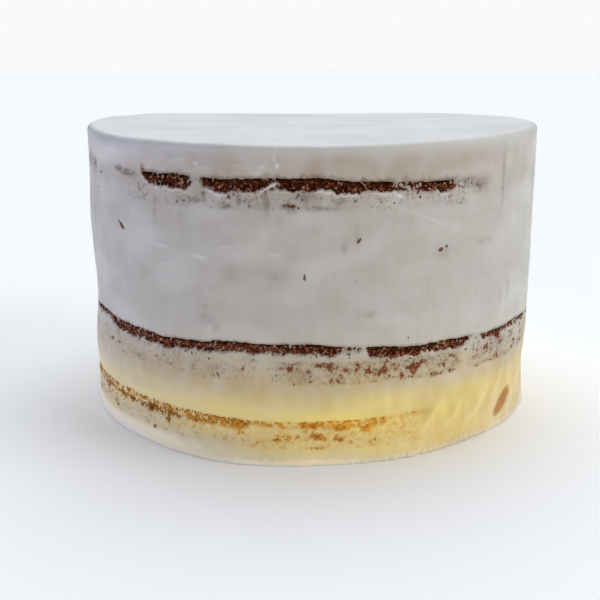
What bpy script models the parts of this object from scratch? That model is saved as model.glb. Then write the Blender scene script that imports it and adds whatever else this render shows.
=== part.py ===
"""A naked layer cake: four chocolate sponges, three cream fillings and one coat of cream.

The coat is thick on top. On the side it is scraped so thin that the top edges of the sponges break
through it in long ragged slits. Metres, +Z up. The origin is the centre of the base, and the side
that the photograph shows faces -Y. A bearing is measured round the axis from -Y towards +X.
"""

import math
from collections import namedtuple

import bmesh
import bpy
from mathutils import Vector, noise

MM = 0.001

# Driving dimensions of the whole cake
CAKE_RADIUS = 102.5 * MM
CAKE_HEIGHT = 126 * MM
COAT_THICKNESS = 2.7 * MM  # cream on the side, before it is scraped away from a rim
FOOT_HEIGHT = 0.5 * MM  # the coat stops this far above the base, which the bottom sponge stands on
GAP = 0.3 * MM  # between pieces that touch

# The layers from the bottom up. top is the height of the layer's upper face at the axis, lean is how
# far that face rises towards -X at the edge, and wave is the height of its three gentle waves.
Layer = namedtuple("Layer", "name top lean wave wave_bearing")
LAYERS = (
    Layer("sponge_1", 19.3 * MM, -0.4 * MM, 1.1 * MM, 49),
    Layer("filling_1", 29.4 * MM, 0.4 * MM, 0.5 * MM, 20),
    Layer("sponge_2", 48.1 * MM, 1.6 * MM, 0.7 * MM, -3),
    Layer("filling_2", 60.6 * MM, 1.8 * MM, 0.3 * MM, 30),
    Layer("sponge_3", 80.2 * MM, 2.4 * MM, 0.4 * MM, 70),
    Layer("filling_3", 93.3 * MM, 3.0 * MM, 0.3 * MM, 0),
    Layer("sponge_4", 113.1 * MM, 3.6 * MM, 0.5 * MM, -5),
)
BASE = Layer("base", 0.0, 0.0, 0.0, 0)
WAVES_ROUND = 3

# Sponge rims. Each stretch is a first and a last bearing between which the rim shows.
RIM_STRETCHES = {
    "sponge_1": ((-76, -31), (-27, -4), (0, 27), (96, 141), (163, 222), (238, 262)),
    "sponge_2": ((-72, 10), (14, 62), (81, 148), (157, 204), (214, 268)),
    "sponge_4": ((-44, -28), (-25, 36), (74, 118), (126, 178), (201, 246), (262, 284)),
}
RIM_FADE = 3.0  # degrees over which a rim sinks under the cream at each end of a stretch
RIM_RECESS = 0.1 * MM  # bare crumb lies at least this far behind the face of the cream
RIM_ROWS = (0.0 * MM, 0.7 * MM, 3.4 * MM, 6.0 * MM)  # drops below the sponge's top edge
RIM_LIFT = (0.86, 1.0, 0.93, 0.0)  # share of the way out to the coat's face at each row
RIM_CRAG = (0.25 * MM, 0.3 * MM, 0.8 * MM, 0.0)  # height of the crags at each row
CRAG_SIZE = 7 * MM

# The coat's outer face. The rows run down its side at these heights, in millimetres.
COAT_ROWS = (121, 115, 109, 99, 87, 74, 61, 50, 44.5, 39, 31, 23, 18.5, 13, 7, 3)
EDGE_ROWS = ((3.4, 0.0), (1.2, 0.7), (0.3, 2.2))  # rounded top edge: inset and drop, in millimetres
TOP_RINGS = (0.22, 0.5, 0.8)  # shares of the radius
BULGE = 0.35 * MM
BULGE_SIZE = 45 * MM
KNIFE_MARK = 0.25 * MM  # waves that the palette knife leaves on top
KNIFE_SIZE = 30 * MM
TOP_SAG = 0.6 * MM  # the top falls twice this far towards the front and the back edge
# Swellings of the side: bearing and half width in degrees, height and half height, how far out
Swelling = namedtuple("Swelling", "bearing spread height reach out")
SWELLINGS = (
    Swelling(-20, 17, 0 * MM, 7 * MM, 3.4 * MM),
    Swelling(42, 22, 0 * MM, 9 * MM, -2.4 * MM),
    Swelling(160, 26, 0 * MM, 8 * MM, 2.2 * MM),
    Swelling(-80, 24, 88 * MM, 14 * MM, 0.6 * MM),
    Swelling(-80, 24, 54 * MM, 12 * MM, -0.7 * MM),
    Swelling(-84, 30, 30 * MM, 9 * MM, 0.7 * MM),
    Swelling(75, 34, 18 * MM, 16 * MM, -1.3 * MM),
)

COLUMNS = 96
CUTTER_DEPTH = 5 * MM  # the cutter of the coat's inside reaches this far below the base

SPONGE_COLOUR = (0.085, 0.030, 0.014, 1)
FILLING_COLOUR = (0.79, 0.72, 0.58, 1)
COAT_COLOUR = (0.80, 0.77, 0.72, 1)


def clear_scene():
    for obj in list(bpy.data.objects):
        bpy.data.objects.remove(obj, do_unlink=True)


def collection(name):
    made = bpy.data.collections.new(name)
    bpy.context.scene.collection.children.link(made)
    return made


def material(name, colour, roughness):
    made = bpy.data.materials.new(name)
    made.use_nodes = True
    shader = made.node_tree.nodes["Principled BSDF"]
    shader.inputs["Base Color"].default_value = colour
    shader.inputs["Roughness"].default_value = roughness
    shader.inputs["Metallic"].default_value = 0.0
    return made


def uneven(bearing, radius, height, size, seed):
    """Smooth noise from about -1 to 1 at a point of the cake. size is the distance between its humps."""
    place = Vector((radius * math.sin(bearing), -radius * math.cos(bearing), height))
    return 2.0 * noise.noise(place / size + Vector((seed, 3.7 * seed, 9.1 * seed)))


def turn_between(bearing, centre):
    """The angle in degrees from a centre bearing, from -180 to 180."""
    return (math.degrees(bearing) - centre + 180) % 360 - 180


def layer_top(layer, radius, bearing):
    """Height of a layer's upper face. It changes evenly with radius, so flat triangles follow it."""
    wave = layer.wave * math.cos(WAVES_ROUND * (bearing - math.radians(layer.wave_bearing)))
    return layer.top + radius / CAKE_RADIUS * (wave - layer.lean * math.sin(bearing))


def coat_radius(bearing, height):
    """Radius of the coat's outer face, with its bulges and swellings."""
    out = CAKE_RADIUS + BULGE * uneven(bearing, CAKE_RADIUS, height, BULGE_SIZE, 1)
    for s in SWELLINGS:
        across = turn_between(bearing, s.bearing) / s.spread
        up = (height - s.height) / s.reach
        out += s.out * math.exp(-across * across - up * up)
    return out


def coat_top(radius, bearing):
    """Height of the coat's upper face."""
    sag = TOP_SAG * (radius / CAKE_RADIUS) ** 2 * (1 + math.cos(2 * bearing))
    return CAKE_HEIGHT - sag + KNIFE_MARK * (uneven(bearing, radius, 0, KNIFE_SIZE, 2) - 1)


def showing(layer, bearing):
    """1 where the sponge's rim breaks through the cream, 0 where the cream covers it."""
    most = 0.0
    for first, last in RIM_STRETCHES.get(layer.name, ()):
        half = (last - first) / 2
        off = abs(turn_between(bearing, (first + last) / 2))
        most = max(most, min(1.0, (half - off) / RIM_FADE + 0.5))
    return most


def core_radius():
    return CAKE_RADIUS - COAT_THICKNESS - GAP


def rim_radius(layer, row, bearing):
    """Radius of a sponge at one of its rim's rows."""
    height = layer_top(layer, CAKE_RADIUS, bearing) - RIM_ROWS[row]
    crag = RIM_CRAG[row] * uneven(bearing, CAKE_RADIUS, height, CRAG_SIZE, 5 + row)
    face = coat_radius(bearing, height) - RIM_RECESS
    shown = showing(layer, bearing)
    return core_radius() + shown * (RIM_LIFT[row] * (face - core_radius()) + crag)


def formed(name, rows, turn=0.0):
    """A closed turned body whose section changes with the bearing.

    rows run from the axis at the top, down the outer side, to the axis at the bottom. Each is a
    function from a bearing to a radius and a height. The Screw turns a ladder of row numbers, and
    every vertex then goes where its row says.
    """
    last = len(rows) - 1
    ladder = bpy.data.meshes.new(name)
    ladder.from_pydata(
        [(0.0 if i in (0, last) else 1.0, 0.0, -float(i)) for i in range(len(rows))],
        [(i, i + 1) for i in range(last)],
        [],
    )
    guide = bpy.data.objects.new(name + "_ladder", ladder)
    bpy.context.scene.collection.objects.link(guide)
    guide.rotation_euler.z = turn
    screw = guide.modifiers.new("turn", "SCREW")
    screw.steps = screw.render_steps = COLUMNS
    screw.use_merge_vertices = True
    screw.merge_threshold = 0.01 * MM
    made = real(guide, name)
    for vertex in made.data.vertices:
        bearing = math.atan2(vertex.co.x, -vertex.co.y)
        radius, height = rows[round(-vertex.co.z)](bearing)
        vertex.co = (radius * math.sin(bearing), -radius * math.cos(bearing), height)
    split_alike(made.data)
    return made


def split_alike(mesh):
    """Splits every face on the same diagonal, so that a piece and its cutter keep their gap."""
    work = bmesh.new()
    work.from_mesh(mesh)
    bmesh.ops.triangulate(work, faces=work.faces, quad_method="FIXED")
    work.to_mesh(mesh)
    work.free()


def real(guide, name):
    """A mesh object of what a guide with modifiers evaluates to. The guide is removed."""
    bpy.context.view_layer.update()
    graph = bpy.context.evaluated_depsgraph_get()
    mesh = bpy.data.meshes.new_from_object(guide.evaluated_get(graph))
    mesh.transform(guide.matrix_world)
    bpy.data.objects.remove(guide, do_unlink=True)
    made = bpy.data.objects.new(name, mesh)
    bpy.context.scene.collection.objects.link(made)
    return made


def on_axis(height):
    return lambda bearing: (0.0, height)


def sponge_rows(layer, below):
    """Rows of a sponge: its upper face, its craggy rim, its plain side and its lower face."""

    def rim(row):
        def place(bearing):
            radius = rim_radius(layer, row, bearing)
            return radius, layer_top(layer, radius, bearing) - RIM_ROWS[row] - GAP / 2

        return place

    def foot(bearing):
        return core_radius(), layer_top(below, core_radius(), bearing) + lift

    lift = 0.0 if below is BASE else GAP / 2
    shown_rows = range(len(RIM_ROWS)) if layer.name in RIM_STRETCHES else (0,)
    rims = [rim(row) for row in shown_rows]
    return [on_axis(layer.top - GAP / 2), *rims, foot, on_axis(below.top + lift)]


def filling_rows(layer, below):
    """Rows of a filling: a plain disc between two sponges."""

    def edge(at, offset):
        return lambda bearing: (core_radius(), layer_top(at, core_radius(), bearing) + offset)

    return [
        on_axis(layer.top - GAP / 2),
        edge(layer, -GAP / 2),
        edge(below, GAP / 2),
        on_axis(below.top + GAP / 2),
    ]


def inside_rows(sponges):
    """Rows of the cutter for the coat's inside: the stack of layers, grown by a gap on every side."""
    grown = core_radius() + GAP

    def wall(layer, drop):
        return lambda bearing: (grown, layer_top(layer, grown, bearing) - drop)

    def rim(layer, row, lift):
        def place(bearing):
            radius = rim_radius(layer, row, bearing) + GAP
            return radius, layer_top(layer, radius, bearing) - RIM_ROWS[row] + lift

        return place

    rows = [on_axis(sponges[-1].top + GAP / 2)]
    for layer in reversed(sponges):
        if layer is not sponges[-1]:
            rows.append(wall(layer, -2 * GAP))
        rows.append(rim(layer, 0, GAP / 2))
        rows += [rim(layer, row, 0.0) for row in range(1, len(RIM_ROWS) - 1)]
        rows.append(wall(layer, RIM_ROWS[-1] + GAP))
    rows.append(lambda bearing: (grown, -CUTTER_DEPTH))
    rows.append(on_axis(-CUTTER_DEPTH))
    return rows


def outside_rows():
    """Rows of the coat's outer form, from the middle of the top to the middle of the base."""

    def ring(share):
        return lambda bearing: (share * CAKE_RADIUS, coat_top(share * CAKE_RADIUS, bearing))

    def edge(inset, drop):
        def place(bearing):
            radius = coat_radius(bearing, CAKE_HEIGHT) - inset
            return radius, coat_top(radius, bearing) - drop

        return place

    def side(height):
        return lambda bearing: (coat_radius(bearing, height), height)

    return [
        on_axis(coat_top(0.0, 0.0)),
        *[ring(share) for share in TOP_RINGS],
        *[edge(inset * MM, drop * MM) for inset, drop in EDGE_ROWS],
        *[side(height * MM) for height in COAT_ROWS],
        side(FOOT_HEIGHT),
        on_axis(FOOT_HEIGHT),
    ]


def largest_body(mesh):
    """Drops the loose scraps of cream that a cut leaves inside a slit, also where one touches an edge."""
    work = bmesh.new()
    work.from_mesh(mesh)
    bmesh.ops.triangulate(work, faces=work.faces)
    left, bodies = set(work.faces), []
    while left:
        body, front = set(), [next(iter(left))]
        while front:
            face = front.pop()
            if face in left:
                left.remove(face)
                body.add(face)
                whole = [edge for edge in face.edges if edge.is_manifold]
                front += [other for edge in whole for other in edge.link_faces]
        bodies.append(body)
    main = max(bodies, key=len)
    bmesh.ops.delete(work, geom=[f for f in work.faces if f not in main], context="FACES")
    work.to_mesh(mesh)
    work.free()


def make_coat(sponges, cutters):
    """The coat: its outer form less the grown stack of layers."""
    guide = formed("coat_form", outside_rows(), turn=math.pi / COLUMNS)
    cutter = formed("coat_inside", inside_rows(sponges))
    cutter.hide_render = True
    cutter.display_type = "WIRE"
    bpy.context.scene.collection.objects.unlink(cutter)
    cutters.objects.link(cutter)
    cut = guide.modifiers.new("inside", "BOOLEAN")
    cut.operation = "DIFFERENCE"
    cut.solver = "EXACT"
    cut.object = cutter
    coat = real(guide, "icing")
    largest_body(coat.data)
    return coat


def finish(obj, look, cake):
    obj.data.materials.clear()
    obj.data.materials.append(look)
    obj.data.shade_smooth()
    obj.data.set_sharp_from_angle(angle=math.radians(35))
    bpy.context.scene.collection.objects.unlink(obj)
    cake.objects.link(obj)


def main():
    clear_scene()
    cake = collection("naked_cake")
    cutters = collection("cutters")
    sponge_look = material("chocolate_sponge", SPONGE_COLOUR, 0.9)
    filling_look = material("filling_cream", FILLING_COLOUR, 0.55)
    coat_look = material("coat_cream", COAT_COLOUR, 0.5)
    below = BASE
    for layer in LAYERS:
        is_sponge = layer.name.startswith("sponge")
        rows = sponge_rows(layer, below) if is_sponge else filling_rows(layer, below)
        finish(formed(layer.name, rows), sponge_look if is_sponge else filling_look, cake)
        below = layer
    rimmed = [layer for layer in LAYERS if layer.name in RIM_STRETCHES]
    finish(make_coat(rimmed, cutters), coat_look, cake)


main()
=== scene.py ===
import math
from collections import namedtuple

import bmesh
import bpy
import numpy as np
from mathutils import Matrix, Vector


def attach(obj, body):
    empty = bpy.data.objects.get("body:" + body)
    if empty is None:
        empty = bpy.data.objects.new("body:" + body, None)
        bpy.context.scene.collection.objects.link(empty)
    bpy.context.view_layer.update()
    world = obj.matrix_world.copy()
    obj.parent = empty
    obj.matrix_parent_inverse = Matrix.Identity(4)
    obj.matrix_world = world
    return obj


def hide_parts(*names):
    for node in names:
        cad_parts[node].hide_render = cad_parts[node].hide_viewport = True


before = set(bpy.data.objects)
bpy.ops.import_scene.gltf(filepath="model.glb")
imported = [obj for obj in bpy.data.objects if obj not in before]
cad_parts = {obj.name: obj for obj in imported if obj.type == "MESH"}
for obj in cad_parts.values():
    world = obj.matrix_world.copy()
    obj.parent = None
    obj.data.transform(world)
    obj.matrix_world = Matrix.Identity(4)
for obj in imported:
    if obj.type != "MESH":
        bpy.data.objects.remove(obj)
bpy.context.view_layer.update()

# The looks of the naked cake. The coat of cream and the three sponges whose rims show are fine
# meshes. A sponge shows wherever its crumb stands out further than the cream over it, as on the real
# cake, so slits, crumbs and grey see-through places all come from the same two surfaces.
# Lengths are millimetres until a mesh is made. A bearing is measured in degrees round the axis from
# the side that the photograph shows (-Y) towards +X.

MM = 0.001
SEED = 11

# The whole cake, as in the CAD
CAKE_RADIUS = 102.5
CAKE_HEIGHT = 126.0
CORE_RADIUS = 99.8  # inner face of the coat
FOOT_HEIGHT = 0.05
GAP = 0.3
TOP_DROP = 0.25  # the top's middle below CAKE_HEIGHT
TOP_SAG = 0.6  # half of how far the rim sinks in front and at the back
# How much the top's rim stands above that of the CAD: bearings, and rises there
RIM_SHIFTS = (
    (-180, -165, -150, -137, -122, -105, -60, -34, 0, 34, 55, 95, 120, 142, 165, 180),
    (0.0, 0.2, 0.8, 1.5, 2.4, 2.6, 1.7, 2.1, 1.6, 2.2, 2.4, 2.2, 1.7, 1.2, 0.2, 0.0),
)
MIDDLE_RISE = 0.6  # and its middle
ARC = math.radians(1) * CAKE_RADIUS  # along the side for each degree
BULGE, BULGE_SIZE = 0.35, 45.0  # slow unevenness of the side: height and size

# Swellings and hollows of the coat: centre, half widths, and how far it stands out
Swelling = namedtuple("Swelling", "bearing spread height reach out")
SWELLINGS = (
    Swelling(-20, 17, 0, 7, 3.4),
    Swelling(42, 22, 0, 9, -2.4),
    Swelling(160, 26, 0, 8, 2.2),
    Swelling(-80, 24, 88, 14, 0.6),
    Swelling(-80, 24, 54, 12, -0.7),
    Swelling(-84, 30, 30, 9, 0.7),
    Swelling(75, 34, 18, 16, -1.3),
)

# The sponges. top is the height of the upper face, lean how far it rises towards -X, wave the height
# of three waves round it, and bottom the height where the layer starts.
Sponge = namedtuple("Sponge", "name bottom top lean wave wave_bearing")
SPONGES = (
    Sponge("sponge_1", 0.0, 19.3, -0.4, 1.1, 49),
    Sponge("sponge_2", 29.7, 48.1, 1.6, 0.7, -3),
    Sponge("sponge_3", 60.9, 80.2, 2.4, 0.4, 70),
    Sponge("sponge_4", 93.6, 113.1, 3.6, 0.5, -5),
)

# How much higher than its wave a sponge's top edge runs in front: bearings, and rises there
EDGE_SHIFTS = {
    "sponge_4": (
        (-58, -45, -38, -31, -25, -16, -10, -3, 2, 8, 20, 28, 33, 58),
        (0, -1.0, -1.3, -0.5, -1.2, -1.0, 0.1, 0.5, 1.1, 0.1, 0.3, 0.6, 1.3, 0),
    ),
    "sponge_2": (
        (-72, -65, -55, -43, -36, -27, -21, -10, -1, 5, 16, 22, 30, 45, 58, 72),
        (0, 1.3, 0.4, -0.2, -1.0, -0.6, 0.9, 0.7, 1.5, 0.6, 0.1, -0.8, 0.6, 0.4, 1.4, 0),
    ),
}
TIP_BEARING, TIP_RISE, TIP_SPREAD = -41.7, 2.0, 0.7  # the upturned left end of the upper slit

# Slits in the coat under a sponge's top edge: bearings, height of the bare band, how much the cream
# still breaks it up, from 0 to 1, and how many degrees its ends take to fade.
Slit = namedtuple("Slit", "first last band broken taper")
SLITS = {
    "sponge_4": [Slit(*row) for row in (
        (-42.3, -38.5, 3.2, 0.05, 0.8), (-42, -26, 5.6, 0.05, 3.6), (-25.8, -10, 4.6, 0.1, 1.4),
        (-13, -6.5, 4.2, 0.42, 1.5), (-10, 12, 4.7, 0.02, 3), (7.5, 18.8, 4.2, 0.12, 3),
        (14.5, 27, 4.2, 0.46, 3), (20.5, 34.5, 4.8, 0.2, 4), (29, 44, 3.6, 0.72, 6),
        (-77, -65, 4.4, 0.9, 4), (-52, -44, 3, 0.9, 3), (74, 118, 4.4, 0.3, 5),
        (126, 178, 4.8, 0.1, 5), (201, 246, 4.2, 0.3, 5), (262, 280, 3.6, 0.5, 5),
    )],
    "sponge_2": [Slit(*row) for row in (
        (-78, -57, 2.4, 0.28, 4), (-62, -33, 4.4, 0.2, 4), (-42, -14.5, 4.5, 0.12, 3),
        (-20.5, 8, 4, 0.12, 4.5), (3, 11.5, 2.6, 0.6, 3), (10.4, 26, 4.4, 0.05, 2.4),
        (22.5, 40, 4.2, 0.12, 3), (37, 44.5, 2.4, 0.8, 2), (41, 52, 3.4, 0.25, 2.5),
        (46, 69, 2.6, 0.42, 4), (62, 82, 1.8, 0.7, 4), (80, 149, 3.9, 0.2, 5),
        (156, 205, 4, 0.1, 5), (213, 269, 3.8, 0.35, 5),
    )],
    "sponge_1": [Slit(*row) for row in (
        (-82, -50, 4.8, 0.64, 4), (-56, -29, 5.2, 0.58, 4), (-33, -13, 4.4, 0.46, 3),
        (-16, 0, 2.6, 0.62, 3), (-5, 18, 3.5, 0.48, 3), (17, 28, 2.2, 0.66, 3),
        (95, 142, 3.6, 0.45, 5), (162, 223, 3.8, 0.5, 5), (237, 263, 3.2, 0.55, 5),
    )],
}
RIMMED = [s for s in SPONGES if s.name in SLITS]
SLIT_DEPTH = 0.85  # how far the cream lies back in a bare slit
BARE_LEVEL, BROKEN_DROP = -0.42, 0.20  # of the crumb in a slit, from the coat's face
BAND_OPEN = 0.3  # the lowest band that opens the cream
BAND_OVERLAP = 1.3  # how far crumbs stray onto the cream below a slit
LIP_HEIGHTS = {"sponge_1": 0.12, "sponge_2": 0.12, "sponge_4": 0.42}  # of the cream below a slit
# Brown just above a slit's edge: partly thin cream over the crumb, partly painted shade under the cream's
# overhang.
HALO_FUZZ = {"sponge_4": 1.6}  # how far the brown strays above a slit's edge in places
HALO_SHARE = {"sponge_1": 0.3}  # and how strong it is
USUAL_FUZZ, USUAL_SHARE = 0.5, 0.9
FILM_REACH = 0.29  # the thickness of cream that hides about two thirds of the brown behind it

# Zones of a sponge's side under a thin coat. level is the height of the crumb's middle from the
# coat's face: at -0.1 many crumbs show, at -0.4 few, and below that only a shade.
Zone = namedtuple("Zone", "first last low high level")
ZONES = {
    "sponge_2": [Zone(*row) for row in (
        (-12, 38, 33, 43.5, -0.33), (36, 72, 32, 44.5, -0.24), (-78, -10, 33.5, 45, -0.56),
        (74, 152, 33.5, 43, -0.4), (154, 216, 33, 42.5, -0.3), (216, 284, 34, 43, -0.46),
    )],
    "sponge_1": [Zone(*row) for row in (
        (-78, 28, 6, 17.5, -0.4), (-20, 22, 7.5, 15, -0.31), (90, 270, 7.5, 15.5, -0.44),
    )],
    "sponge_4": [Zone(*row) for row in (
        (-50, 38, 101.5, 110.5, -0.43), (72, 286, 100, 109.5, -0.56),
    )],
}

# Places where the sponge comes nearer to the face than round about: centre, half widths, rise
Spot = namedtuple("Spot", "bearing height wide tall share")
PATCHES = {
    "sponge_4": [Spot(*row) for row in (
        (-26.5, 105.2, 1.8, 0.9, 0.26), (-24.2, 107.4, 0.9, 2, 0.26),
        (-19.1, 103.3, 1.6, 0.9, 0.26), (-15.9, 106.6, 0.9, 1.5, 0.26),
        (-9.8, 105.6, 0.8, 2.4, 0.26), (-5.2, 103.9, 1.8, 0.9, 0.26), (1.2, 103.3, 3.6, 0.7, 0.26),
        (5.2, 106.2, 1.4, 0.8, 0.26), (8.8, 106.4, 1.2, 0.7, 0.26), (12.9, 106.6, 1.1, 0.8, 0.26),
        (14.2, 104.9, 0.9, 0.7, 0.26), (-46.6, 112.4, 1.9, 1.9, 0.26), (-52, 113, 1.5, 1, 0.26),
    )],
    "sponge_2": [Spot(*row) for row in (
        (-58.2, 39.1, 1.2, 0.9, 0.62), (-54.1, 38.6, 1.2, 1, 0.56), (-39.6, 38.3, 1.7, 0.8, 0.41),
        (-35.4, 39.3, 1.3, 0.8, 0.41), (-15.9, 39.6, 0.8, 1.3, 0.7), (-13.4, 40, 1.1, 0.7, 0.5),
        (-9.3, 40.3, 2.2, 0.8, 0.54), (-5.4, 40.4, 1.2, 1.9, 0.65), (-3.2, 43, 2.2, 0.8, 0.41),
        (-1.2, 38.9, 1, 1.1, 0.61), (-1, 35.4, 0.8, 0.8, 0.48), (0.7, 41.6, 1.5, 0.8, 0.44),
        (3.2, 40.2, 2.6, 2.1, 0.49), (6.8, 40, 2.4, 1.2, 0.51), (9.4, 41.2, 1.6, 1.4, 0.49),
        (12, 38.8, 2, 1.3, 0.54), (15.3, 38.2, 1.8, 2.2, 0.58), (15.8, 42.3, 1.2, 0.7, 0.48),
        (18.6, 38.5, 1, 1, 0.51), (22, 38.6, 3.2, 1.3, 0.58), (20, 35.7, 0.9, 0.9, 0.48),
        (22.6, 36, 0.9, 0.9, 0.5), (24.4, 33.9, 1, 1, 0.52), (27.6, 33, 2.2, 1.5, 0.51),
        (30.6, 37, 2.2, 2.2, 0.49), (35.3, 37.2, 2.4, 1.9, 0.46), (32.8, 34.2, 1.6, 1.4, 0.44),
        (8.7, 33.8, 2.4, 0.4, 0.41), (24.3, 30.9, 0.8, 0.6, 0.73),
    )],
    "sponge_1": [Spot(*row) for row in (
        (-21.4, 18, 1.8, 1.2, 0.38), (-17.6, 16.6, 2.2, 1.9, 0.56), (-49.4, 15.2, 1.2, 1.2, 0.75),
        (-41.4, 14.4, 2.4, 1.8, 0.65), (-36.1, 11.9, 2.2, 2.2, 0.65), (-33, 10.7, 1.2, 1, 0.62),
        (-40.6, 7.2, 0.9, 0.8, 0.78), (-8.3, 10.4, 1.8, 0.9, 0.62), (-3.9, 11.6, 1.3, 0.9, 0.62),
        (1, 12.1, 3.2, 1.4, 0.65), (5.7, 10.6, 1.6, 0.9, 0.62), (-0.2, 7.3, 4.6, 0.7, 0.69),
        (11, 14, 1.6, 0.8, 0.62), (20.6, 14, 0.8, 0.9, 0.78), (-62.6, 12.5, 1.2, 2.2, 0.65),
        (-57, 9, 1.3, 1.5, 0.56),
    )],
    "sponge_3": [Spot(*row) for row in (
        (-24.5, 63.5, 2, 1.6, 0.72), (8.9, 75.5, 1.6, 2.4, 0.66), (-18, 79, 1.8, 1.8, 0.64),
        (34, 79.5, 3.4, 1, 0.68), (-10, 72, 1.2, 1.4, 0.62), (140, 70, 2.6, 2, 0.7),
        (205, 75, 2.2, 1.6, 0.7),
    )],
}
COVERED_LEVEL = -1.3  # of a sponge that no zone brings near the face
FOOT_COVER = 1.6  # how much deeper it lies at the foot
CRUMB_RELIEFS = ((0.24, 2.2), (0.46, 1.2), (0.34, 0.72))  # height and size
CRUMB_WARP = 0.9  # how far the crumb's pattern is bent
CLUMP_RELIEF, CLUMP_SIZE = 0.30, 6.5  # its larger unevenness

# Grey-brown smudges in the cream: centre, half widths, strength
SMUDGES = [Spot(*row) for row in (
    (-26.8, 105, 2.8, 1.1, 0.94), (-24.4, 106.8, 1.2, 2.8, 0.77), (-19.4, 103.4, 3, 1.1, 0.85),
    (-16.2, 106.4, 1.1, 2.2, 0.77), (-10.2, 105.2, 1.1, 3, 0.94), (-5.2, 103.8, 3, 1, 1.19),
    (1.2, 103.2, 5.8, 0.9, 0.71), (5.5, 105.6, 2.2, 1.2, 0.68), (-7, 99.5, 1.5, 2.2, 0.22),
    (-2, 107.2, 3.8, 1.5, 0.59), (-10.4, 107.2, 1.1, 1.5, 1.02), (-5, 103.5, 2, 1.5, 1.05),
    (-46.5, 112.8, 4, 1.9, 0.85), (-50.5, 114, 2.8, 1, 0.77), (-65.6, 113.6, 1.8, 2, 1.02),
    (-71, 115.8, 2.2, 2, 0.94), (-74, 97, 1, 2.6, 0.5), (-38, 101, 1.2, 5, 0.34),
    (-30.5, 98, 1.2, 3, 0.16), (-24.5, 58.4, 2.8, 1.8, 0.42), (-22.2, 55.8, 1.4, 1.6, 0.35),
    (-18.5, 76, 2.2, 2.2, 0.26), (-8.5, 76.5, 2.2, 1.6, 0.22), (12, 61.6, 2.6, 1.2, 0.35),
    (6.3, 88, 1.4, 2.6, 0.28), (9, 92.5, 0.8, 3.6, 0.3), (30, 83.8, 4, 1.8, 0.26),
    (42, 86, 4.5, 1.2, 0.24), (26, 108.2, 7.5, 1.2, 0.51), (39.5, 109, 3.8, 2, 0.71),
    (48.5, 109.5, 0.9, 8.1, 0.48), (53, 64, 1, 3, 0.32), (49.5, 61, 0.8, 2.2, 0.3),
    (49, 36, 2.4, 1.4, 0.5), (-60, 84, 2.5, 3, 0.2), (-68, 92, 1.5, 3.5, 0.35),
    (104, 96, 4, 2, 0.3), (135, 104, 5.6, 1.5, 0.77), (160, 90, 2, 3, 0.25),
    (188, 58, 3.5, 1.6, 0.35), (222, 105, 6.2, 1.5, 0.77), (250, 70, 3, 3, 0.25),
)]
SMUDGE_SHARE, SMUDGE_MOST = 1.5, 0.9

# Strokes of the palette knife and other marks on the side: from a bearing and height to another,
# half width, and height, which is negative for a groove.
Stroke = namedtuple("Stroke", "bearing height to_bearing to_height width out")
STROKES = [Stroke(*row) for row in (
    (15, 104.7, 38, 88.9, 0.65, 0.22), (57.4, 13.6, 52.8, 7.8, 3.4, -1.3),
    (-11.2, 109.6, -8, 112.4, 0.5, 0.8), (16.8, 108.6, 18.6, 106.6, 0.5, 0.7),
    (-37.5, 108.6, -34.5, 109.4, 0.7, 0.6), (-38, 85.6, -33.5, 85.3, 0.9, 0.24),
    (-28, 83.5, -23.6, 82.7, 1, 0.3), (-21, 87.8, -17.6, 87.6, 0.8, 0.24),
    (-10, 85.6, -7, 85.4, 0.8, 0.26), (-36.5, 78.8, -33.5, 78.4, 0.9, 0.2),
    (-7.5, 67.8, -4.8, 67.4, 0.9, 0.22), (-18.8, 123, -18, 122.2, 0.7, 0.7),
    (-8.9, 122, -8.5, 121.4, 0.7, 0.65), (-8, 119.9, -7.8, 118.6, 0.7, 0.65),
    (-11.2, 119, -10.8, 118.4, 0.6, 0.4), (-26.6, 119.4, -25.6, 118.6, 0.7, 0.45),
    (-27.5, 116.7, -22, 118.2, 1, 0.2), (-19.5, 119.5, -14, 118, 0.9, 0.16),
    (-13, 116.8, -8, 118, 0.9, 0.16), (-34, 119.2, -27, 121, 1.1, 0.2),
    (-31, 11, -22, 0.5, 1.8, 0.55), (-24, 9, -14, 1.5, 1.6, 0.4), (-40, 13.5, -31, 4, 1.8, 0.35),
    (25.4, 12.5, 29, 21, 2.3, 1.05), (32, 12, 36, 20.5, 2.4, 1.2), (39.2, 11.5, 45, 21.5, 2.4, 1.2),
    (48.5, 17.5, 51.5, 26, 2.2, 1), (59.8, 12, 64, 23.5, 1.7, 0.8), (70, 20, 72.5, 42, 1.1, 0.5),
    (66, 31, 67.5, 43, 0.8, 0.28), (-46, 30.5, -30, 26, 1.8, 0.2),
    (-26, 27.5, -14, 26.2, 1.2, 0.22), (11, 60.5, 14, 63.5, 1.4, -0.15),
    (150, 12, 158, 24, 2.2, 0.65), (166, 13, 175, 25, 2.2, 0.65), (196, 60, 216, 78, 0.7, 0.15),
    (100, 92, 122, 80, 0.7, 0.15),
)]
STAIN_STROKE = 1  # the golden gouge
# Grey smears on the top: x, y and half widths
TOP_SMEARS = ((28, 20, 16, 4), (66, 42, 12, 4), (-60, -30, 14, 6), (-20, 60, 30, 5))

# How yellow the lower cream is at each height, in front: a painted reflection of a gold board under the
# cake
PAINTED_REFLECTION_HEIGHTS = (0, 2.5, 5, 9, 14, 18, 22, 26, 31, 38, 47, 56)
PAINTED_REFLECTION_SHARES = (0.18, 0.40, 0.56, 0.62, 0.84, 1.0, 0.95, 0.60, 0.30, 0.17, 0.06, 0.0)
# and how beige, where crumbs lie under a thin coat
BEIGE_HEIGHTS = (0, 6, 12, 22, 28, 33, 40, 46, 52, 104, 108, 112, 120, 126)
BEIGE_SHARES = (0.0, 0.25, 0.3, 0.15, 0.7, 1.0, 0.85, 0.35, 0.17, 0.3, 0.55, 0.75, 0.7, 0.2)

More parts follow.
